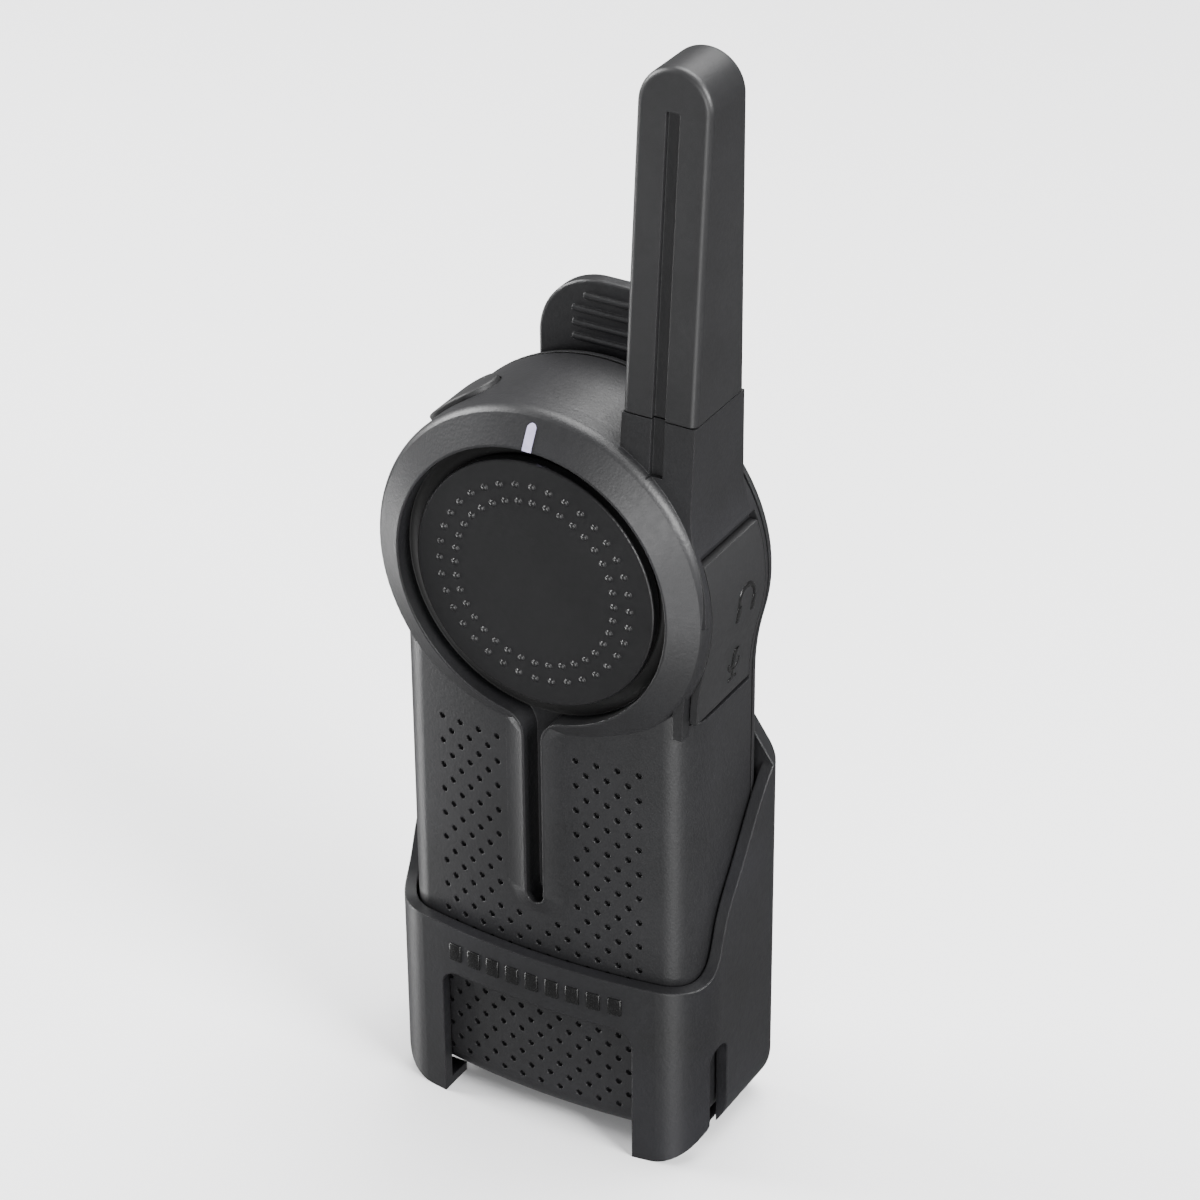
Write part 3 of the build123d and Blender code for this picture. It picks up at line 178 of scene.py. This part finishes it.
def plastic(name, dark, light, roughness, grain, depth, edge=0.18 * MM, sheen=0.5):
    """Moulded polymer: a grain of the given size and depth, cloudy tone, softened edges."""
    material, tree = new_material(name)
    place = node(tree, "ShaderNodeTexCoord").outputs["Object"]
    cells = node(
        tree, "ShaderNodeTexVoronoi", {"feature": "SMOOTH_F1"}, Vector=place, Scale=1 / grain,
        Smoothness=0.6,
    )
    dust = node(tree, "ShaderNodeTexNoise", Vector=place, Scale=0.45 / grain, Detail=4.0)
    relief = node(
        tree, "ShaderNodeMix", {"data_type": "FLOAT"}, Factor=0.45,
        A=cells.outputs["Distance"], B=dust.outputs["Fac"],
    )
    cloud = node(tree, "ShaderNodeTexNoise", Vector=place, Scale=1 / cloud_size, Detail=3.0)
    tone = node(tree, "ShaderNodeMapRange", Value=cloud.outputs["Fac"], From_Min=0.3, From_Max=0.7)
    colour = two_tones(tree, tone.outputs["Result"], dark, light)
    gloss = node(
        tree, "ShaderNodeMapRange", Value=dust.outputs["Fac"],
        To_Min=roughness - 0.05, To_Max=roughness + 0.07,
    )
    rounded = node(tree, "ShaderNodeBevel", {"samples": 4}, Radius=edge)
    bump = node(
        tree, "ShaderNodeBump", Height=relief.outputs["Result"], Strength=1.0, Distance=depth,
        Normal=rounded.outputs["Normal"],
    )
    shader = node(
        tree, "ShaderNodeBsdfPrincipled", Base_Color=colour,
        Roughness=gloss.outputs["Result"], Normal=bump.outputs["Normal"], IOR=1.5,
    )
    shader.inputs["Specular IOR Level"].default_value = sheen
    node(tree, "ShaderNodeOutputMaterial", Surface=shader.outputs["BSDF"])
    return material


def dress(material, *names):
    """Gives CAD nodes a finish."""
    for name in names:
        for slot in nodes[name].material_slots:
            slot.link = "OBJECT"
            slot.material = material


def copy_of(name, new_name):
    """Copy of a CAD node as one merged mesh, ready to be worked on."""
    bpy.ops.object.select_all(action="DESELECT")
    copy = nodes[name].copy()
    copy.data = nodes[name].data.copy()
    copy.name = new_name
    bpy.context.scene.collection.objects.link(copy)
    copy.parent = None
    copy.matrix_world = Matrix.Identity(4)
    bpy.context.view_layer.objects.active = copy
    copy.select_set(True)
    bpy.ops.object.mode_set(mode="EDIT")
    bpy.ops.mesh.select_all(action="SELECT")
    bpy.ops.mesh.remove_doubles(threshold=0.001 * MM)
    bpy.ops.object.mode_set(mode="OBJECT")
    return copy


def finish_with(piece, material, angle=30):
    """One material on a piece, and smooth shading below an edge angle."""
    piece.data.materials.clear()
    piece.data.materials.append(material)
    bpy.ops.object.select_all(action="DESELECT")
    bpy.context.view_layer.objects.active = piece
    piece.select_set(True)
    bpy.ops.object.shade_smooth_by_angle(angle=radians(angle))


def corner_key(point, normal):
    """Names a face corner by its place, to two micrometres, and by the way its face looks."""
    place = tuple(round(c / same_place) for c in point)
    return place + tuple(round(c * 20) for c in normal)


def take_normals(piece, name):
    """Shades a cut copy like its CAD node, its bowed panel by formula, its pits by their faces."""
    mesh = nodes[name].data
    kept = {}
    for face in mesh.polygons:
        for corner in face.loop_indices:
            point = mesh.vertices[mesh.loops[corner].vertex_index].co
            kept[corner_key(point, face.normal)] = mesh.corner_normals[corner].vector.copy()
    mesh = piece.data
    mesh.polygons.foreach_set("use_smooth", [True] * len(mesh.polygons))
    normals = []
    for face in mesh.polygons:
        for corner in face.loop_indices:
            point = mesh.vertices[mesh.loops[corner].vertex_index].co
            outwards = Vector((point.x, point.y - panel_y - bow_r, 0))
            on_bow = abs(outwards.length - bow_r) < bow_slack and face.normal.y < -0.95
            normal = kept.get(corner_key(point, face.normal), face.normal.copy())
            if face.material_index == 0 and on_bow:
                normal = outwards.normalized()
            normals.append(normal)
    mesh.normals_split_custom_set(normals)


def on_panel(x, z):
    """Whether a dimple at x, z clears the ridge and the head."""
    from_ridge = sqrt(x**2 + max(ridge_foot_z - z, 0) ** 2)
    from_head = sqrt(x**2 + (head_z - z) ** 2)
    return from_ridge > ridge_half + dimple_margin and from_head > head_r + dimple_margin


# Grained polycarbonate blend: a dark grey-black with a soft broad sheen and a fine pebble.
housing_finish = plastic("grained_polycarbonate", "#121213", "#18181a", 0.44, 0.42 * MM, 0.03 * MM)
# The same blend inside the dimples, rougher, with painted shade: its colour is darkened to stand in
# for the shadow down in the pits.
pit_painted_shade = plastic("dimple_painted_shade", "#080808", "#0d0d0d", 0.7, 0.42 * MM, 0.002 * MM)
front = copy_of("front_housing", "front_cover")
front.data.materials.clear()
front.data.materials.append(housing_finish)
bpy.ops.object.select_all(action="DESELECT")
bpy.ops.mesh.primitive_cone_add(
    vertices=12, radius1=dimple_r, radius2=0.8 * dimple_r, depth=4 * dimple_depth,
    rotation=(-pi / 2, 0, 0),
)
drill = bpy.context.object
# The drill's faces carry the pits' painted shade onto the cut dimple walls.
drill.data.materials.append(pit_painted_shade)
bpy.ops.object.transform_apply(location=False, rotation=True, scale=False)
drill.select_set(False)
drills = []
for column in range(-outer_column, outer_column + 1):
    x = column * dimple_column
    skin_y = panel_y + bow_r - sqrt(bow_r**2 - x**2)
    z = dimple_low + (column % 2) * dimple_row / 2
    while z < dimple_high:
        if on_panel(x, z):
            tip = drill.copy()
            tip.data = drill.data.copy()
            tip.data.transform(Matrix.Translation((x, skin_y - dimple_depth, z)))
            bpy.context.scene.collection.objects.link(tip)
            drills.append(tip)
        z += dimple_row
bpy.data.objects.remove(drill)
for tip in drills:
    tip.select_set(True)
cutter = drills[0]
bpy.context.view_layer.objects.active = cutter
bpy.ops.object.join()
bpy.ops.object.select_all(action="DESELECT")
front.select_set(True)
bpy.context.view_layer.objects.active = front
sound_holes = front.modifiers.new("sound_dimples", "BOOLEAN")
sound_holes.operation = "DIFFERENCE"
sound_holes.solver = "EXACT"
sound_holes.object = cutter
bpy.ops.object.modifier_apply(modifier=sound_holes.name)
bpy.data.objects.remove(cutter)
take_normals(front, "front_housing")
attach(front, "radio")
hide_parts("front_housing")

# ---- Rear housing, door and latch ----
# The same polycarbonate blend; the door snaps into the back and the latch slides over it.

# Grained polycarbonate blend from another tool: slightly duller than the front.
rear_finish = plastic("grained_back_shell", "#121213", "#18181a", 0.52, 0.42 * MM, 0.022 * MM)
dress(rear_finish, "rear_housing", "battery_door")

# ---- Talk button and its moat ----
# A satin moulded disc with two rings of domes floats in a soft black elastomer skirt.

# Satin polycarbonate, nearly without grain: smooth and black, with a narrow sheen.
button_finish = plastic("satin_button_cap", "#0d0d0e", "#121213", 0.34, 0.3 * MM, 0.004 * MM)
dress(button_finish, "ptt_button")
# Black silicone with painted shade: its colour is darkened to the deepest black on the radio, so the
# moat reads as a shadow.
skirt_with_painted_shade = plastic("black_silicone_with_painted_shade", "#060606", "#0a0a0a", 0.55, 0.5 * MM, 0.006 * MM)
dress(skirt_with_painted_shade, "ptt_membrane", "housing_gasket")

# ---- Indicator light ----
# A frosted acrylic pipe fills a slot in the bezel and takes the LED's light to the face.

acrylic, tree = new_material("frosted_acrylic")
# Frosted PMMA: milky lilac body with a smooth wet-looking face.
haze_size = 1.4286 * MM
place = node(tree, "ShaderNodeTexCoord").outputs["Object"]
haze = node(tree, "ShaderNodeTexNoise", Vector=place, Scale=1 / haze_size, Detail=2.0)
milk = two_tones(tree, haze.outputs["Fac"], "#8d88a4", "#b4aec8")
body = node(tree, "ShaderNodeBsdfPrincipled", Base_Color=milk, Roughness=0.25, IOR=1.49)
node(tree, "ShaderNodeOutputMaterial", Surface=body.outputs["BSDF"])
dress(acrylic, "led_light_pipe", "led")

# ---- Antenna ----
# A flat aerial in an over-moulded elastomer sleeve, seated on the housing's own stub.

# Over-moulded thermoplastic elastomer: a little greyer and finer grained than the housing.
antenna_finish = plastic("overmoulded_sleeve", "#151516", "#1b1b1c", 0.44, 0.36 * MM, 0.016 * MM)
dress(antenna_finish, "antenna_sleeve")

# ---- Keys and accessory cover ----
# Silicone and elastomer caps, softer and a little smoother than the housing round them.

# Satin silicone rubber: a soft broad sheen and hardly any grain.
key_finish = plastic("satin_key_rubber", "#101011", "#151516", 0.55, 0.3 * MM, 0.008 * MM)
dress(key_finish, "power_key", "volume_up_key", "volume_down_key", "top_button", "battery_latch")
# Thermoplastic elastomer with the housing's grain: matter than the hard plastic round it.
cover_finish = plastic("soft_cover_rubber", "#141415", "#1a1a1b", 0.5, 0.4 * MM, 0.014 * MM)
dress(cover_finish, "accessory_cover")

# ---- Pictograms on the cover ----
# Polished raised symbols moulded in the cover: a headset by the upper socket and a
# microphone by the lower one.

# The cover's elastomer against polished steel: glossy black against the matt skin.
symbol_finish = plastic("polished_symbol", "#070707", "#0b0b0b", 0.22, 0.5 * MM, 0.001 * MM)
symbol_y = 2.4 * MM
headset_z = 94.7 * MM
microphone_z = 83.4 * MM
stroke = 0.42 * MM
bar_rounding = 0.2 * MM
flatness = 0.35
waist_r = 40 * MM
half_w = 25 * MM
waist_x = half_w + waist_r
waist_drop = sqrt((head_r + waist_r) ** 2 - waist_x**2)


def skin_x(z):
    """Half width of the radio at a height beside its head."""
    drop = head_z - z
    if drop < head_r * waist_drop / (head_r + waist_r):
        return sqrt(head_r**2 - drop**2)
    return waist_x - sqrt(waist_r**2 - (waist_drop - drop) ** 2)


def cut_off(piece, z, keep):
    """Cuts a piece at a height, keeps what is above (1) or below (-1), and closes the cut."""
    bpy.ops.object.mode_set(mode="EDIT")
    bpy.ops.mesh.select_all(action="SELECT")
    bpy.ops.mesh.bisect(plane_co=(0, 0, z), plane_no=(0, 0, keep), use_fill=True, clear_inner=True)
    bpy.ops.object.mode_set(mode="OBJECT")
    return piece


def ring(z, major, minor):
    """Upright ring in the cover's plane."""
    bpy.ops.mesh.primitive_torus_add(
        location=(0, symbol_y, z), rotation=(0, pi / 2, 0), major_radius=major,
        minor_radius=minor, major_segments=40, minor_segments=10,
    )
    bpy.ops.object.transform_apply(location=True, rotation=True, scale=True)
    return bpy.context.object


def bar(y, z, width, height):
    """Upright bar with rounded edges in the cover's plane."""
    bpy.ops.mesh.primitive_cylinder_add(vertices=20, radius=1, depth=1, location=(0, y, z))
    bpy.context.object.scale = (width / 2, width / 2, height)
    bpy.ops.object.transform_apply(location=True, rotation=True, scale=True)
    bpy.ops.object.mode_set(mode="EDIT")
    bpy.ops.mesh.select_all(action="SELECT")
    bpy.ops.mesh.subdivide(number_cuts=2)
    bpy.ops.mesh.select_all(action="SELECT")
    bpy.ops.mesh.bevel(offset=bar_rounding, segments=1, affect="EDGES", clamp_overlap=True)
    bpy.ops.object.mode_set(mode="OBJECT")
    return bpy.context.object


def lay_on_cover(parts, name):
    """Joins a symbol's strokes and lays them on the cover's curved skin."""
    bpy.ops.object.select_all(action="DESELECT")
    for part in parts:
        part.select_set(True)
    bpy.context.view_layer.objects.active = parts[0]
    bpy.ops.object.join()
    symbol = bpy.context.object
    symbol.name = name
    for point in symbol.data.vertices:
        point.co.x = skin_x(point.co.z) + flatness * point.co.x
    finish_with(symbol, symbol_finish, 40)
    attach(symbol, "socket_cover")


band_r = 2.3 * MM
band_end_z = headset_z - 0.3 * MM
earpiece_w, earpiece_h = 1.25 * MM, 2.4 * MM
earpiece_y = 0.94 * band_r
earpiece_z = headset_z - 1.5 * MM
headset = [cut_off(ring(headset_z, band_r, stroke), band_end_z, 1)]
for side in (-1, 1):
    headset.append(bar(symbol_y + side * earpiece_y, earpiece_z, earpiece_w, earpiece_h))
lay_on_cover(headset, "headset_symbol")

thin_stroke = 0.7 * stroke
capsule_w, capsule_h = 1.5 * MM, 3.2 * MM
capsule_z = microphone_z + 1.1 * MM
cradle_r = 1.55 * MM
cradle_z = microphone_z + 0.4 * MM
stem_w, stem_h = 0.6 * MM, 1.3 * MM
stem_z = microphone_z - 1.9 * MM
foot_w = 2.4 * MM
foot_z = microphone_z - 2.6 * MM
capsule = bar(symbol_y, capsule_z, capsule_w, capsule_h)
cradle = cut_off(ring(cradle_z, cradle_r, thin_stroke), cradle_z, -1)
stem = bar(symbol_y, stem_z, stem_w, stem_h)
bpy.ops.mesh.primitive_cylinder_add(
    vertices=16, radius=thin_stroke, depth=foot_w, rotation=(pi / 2, 0, 0),
    location=(0, symbol_y, foot_z),
)
bpy.ops.object.transform_apply(location=True, rotation=True, scale=True)
foot = bpy.context.object
lay_on_cover([capsule, cradle, stem, foot], "microphone_symbol")

# ---- Holster, tab and clip ----
# The holster is one nylon moulding, the tab its thumb catch on a thin flexure, and the clip
# turns on a screwed swivel behind it.

# Moulded glass-filled nylon: coarse soft grain, edges rounded enough to catch a bright line.
holster_finish = plastic("moulded_nylon", "#121213", "#17171a", 0.4, 0.5 * MM, 0.022 * MM, 0.35 * MM)
dress(holster_finish, "holster_shell", "release_tab")
# Moulded acetal: waxy, smoother than the nylon and a little shinier.
clip_finish = plastic("moulded_acetal", "#171718", "#1d1d1e", 0.42, 0.5 * MM, 0.012 * MM, 0.3 * MM)
dress(clip_finish, "swivel_disc", "clip_base", "clip_lever")

# ---- Marks on the holster's front ----
# A plain row of polished raised bars stands across the front band, between lip and window.
mark_z = 27.6 * MM
mark_count = 9
mark_pitch = 3.5 * MM
mark_size = (2.3 * MM, 0.5 * MM, 3.0 * MM)
mark_rounding = 0.24 * MM
holster_front_y = -13.6 * MM
holster_bow_r = bow_r + 2.3 * MM
# The holster's nylon against a polished insert: glossy black.
mark_finish = plastic("polished_nylon_mark", "#090909", "#0d0d0d", 0.25, 0.5 * MM, 0.001 * MM)
marks = []
for index in range(mark_count):
    x = (index - (mark_count - 1) / 2) * mark_pitch
    lean = asin(x / holster_bow_r)
    face_y = holster_front_y + holster_bow_r * (1 - cos(lean))
    bpy.ops.object.select_all(action="DESELECT")
    bpy.ops.mesh.primitive_cube_add(size=1, location=(x, face_y, mark_z), rotation=(0, 0, lean))
    mark = bpy.context.object
    mark.scale = mark_size
    bpy.ops.object.transform_apply(location=True, rotation=True, scale=True)
    bpy.ops.object.mode_set(mode="EDIT")
    bpy.ops.mesh.select_all(action="SELECT")
    bpy.ops.mesh.bevel(offset=mark_rounding, segments=3, affect="EDGES")
    bpy.ops.object.mode_set(mode="OBJECT")
    marks.append(mark)
for mark in marks:
    mark.select_set(True)
bpy.context.view_layer.objects.active = marks[0]
bpy.ops.object.join()
marks = bpy.context.object
marks.name = "front_marks"
finish_with(marks, mark_finish, 40)
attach(marks, "holster")


# ---- Metal pieces ----
# Zinc-plated screws and pins, the drawn spring wire, the stamped switch covers and the
# gold-plated contacts.
def metal(name, dark, light, roughness, streak):
    """Bare or plated metal with fine drawn streaks along Z."""
    material, tree = new_material(name)
    place = node(tree, "ShaderNodeTexCoord").outputs["Object"]
    stretched = node(tree, "ShaderNodeMapping", Vector=place)
    stretched.inputs["Scale"].default_value = (1, 1, 0.08)
    lines = node(
        tree, "ShaderNodeTexNoise", Vector=stretched.outputs["Vector"], Scale=1 / streak, Detail=4.0
    )
    colour = two_tones(tree, lines.outputs["Fac"], dark, light)
    bump = node(
        tree, "ShaderNodeBump", Height=lines.outputs["Fac"], Strength=0.4, Distance=0.004 * MM
    )
    shader = node(
        tree, "ShaderNodeBsdfPrincipled", Base_Color=colour, Metallic=1.0,
        Roughness=roughness, Normal=bump.outputs["Normal"],
    )
    node(tree, "ShaderNodeOutputMaterial", Surface=shader.outputs["BSDF"])
    return material


# Zinc plate on steel: cool grey with a soft gleam.
zinc = metal("zinc_plated_steel", "#8e9196", "#b9bcc0", 0.34, 0.12 * MM)
dress(zinc, "housing_screws", "swivel_screw", "swivel_nut", "clip_pin")
# Drawn spring steel: darker and sharper, with fine lines along the wire.
wire = metal("drawn_spring_wire", "#7d7f82", "#a9abad", 0.28, 0.06 * MM)
dress(wire, "clip_spring")
# Stamped tin plate: bright neutral grey.
tin = metal("stamped_tin_plate", "#9a9c9e", "#c4c6c8", 0.3, 0.1 * MM)
dress(tin, "ptt_switch", "side_switches", "microphone", "antenna_radiator")
# Gold plate over nickel: warm yellow and smooth.
gold = metal("gold_plated_contact", "#b48a34", "#dcb765", 0.25, 0.08 * MM)
dress(gold, "battery_contacts", "charging_contacts")

# ---- Electronics inside ----
# Fibreglass board under green solder mask, moulded chip packages, the socket block, the
# loudspeaker with its cloth and the sleeved lithium pack.

# Solder mask over fibreglass: glossy deep green.
mask_finish = plastic("green_solder_mask", "#0d3a22", "#12492c", 0.3, 0.6 * MM, 0.004 * MM)
dress(mask_finish, "main_board")
# Moulded epoxy: dull charcoal with a sandy grain.
package_finish = plastic("moulded_epoxy_package", "#161616", "#1e1e1e", 0.6, 0.2 * MM, 0.006 * MM)
dress(package_finish, "board_chips", "jack_socket")
# Black paint on pressed steel: even, with a low sheen.
frame_finish = plastic("painted_speaker_frame", "#202224", "#2a2c2e", 0.42, 0.3 * MM, 0.004 * MM)
dress(frame_finish, "speaker")
# Shrink film: thin glossy dark grey.
sleeve_finish = plastic("shrink_sleeve_film", "#23252b", "#2c2f36", 0.3, 0.9 * MM, 0.006 * MM)
dress(sleeve_finish, "battery_pack")

cloth, tree = new_material("woven_acoustic_cloth")
# Woven polyester: crossed threads at 0.25 mm, matt with open gaps.
thread = 0.25 * MM
place = node(tree, "ShaderNodeTexCoord").outputs["Object"]
warp = node(
    tree, "ShaderNodeTexWave", {"bands_direction": "X"}, Vector=place, Scale=0.31 / thread
)
weft = node(
    tree, "ShaderNodeTexWave", {"bands_direction": "Z"}, Vector=place, Scale=0.31 / thread
)
weave = node(tree, "ShaderNodeMath", {"operation": "MAXIMUM"})
tree.links.new(warp.outputs["Fac"], weave.inputs[0])
tree.links.new(weft.outputs["Fac"], weave.inputs[1])
threads = two_tones(tree, weave.outputs["Value"], "#050505", "#1c1c1c")
raised = node(tree, "ShaderNodeBump", Height=weave.outputs["Value"], Distance=0.05 * MM)
cloth_shader = node(
    tree, "ShaderNodeBsdfPrincipled", Base_Color=threads, Roughness=0.9,
    Normal=raised.outputs["Normal"],
)
node(tree, "ShaderNodeOutputMaterial", Surface=cloth_shader.outputs["BSDF"])
dress(cloth, "speaker_mesh")
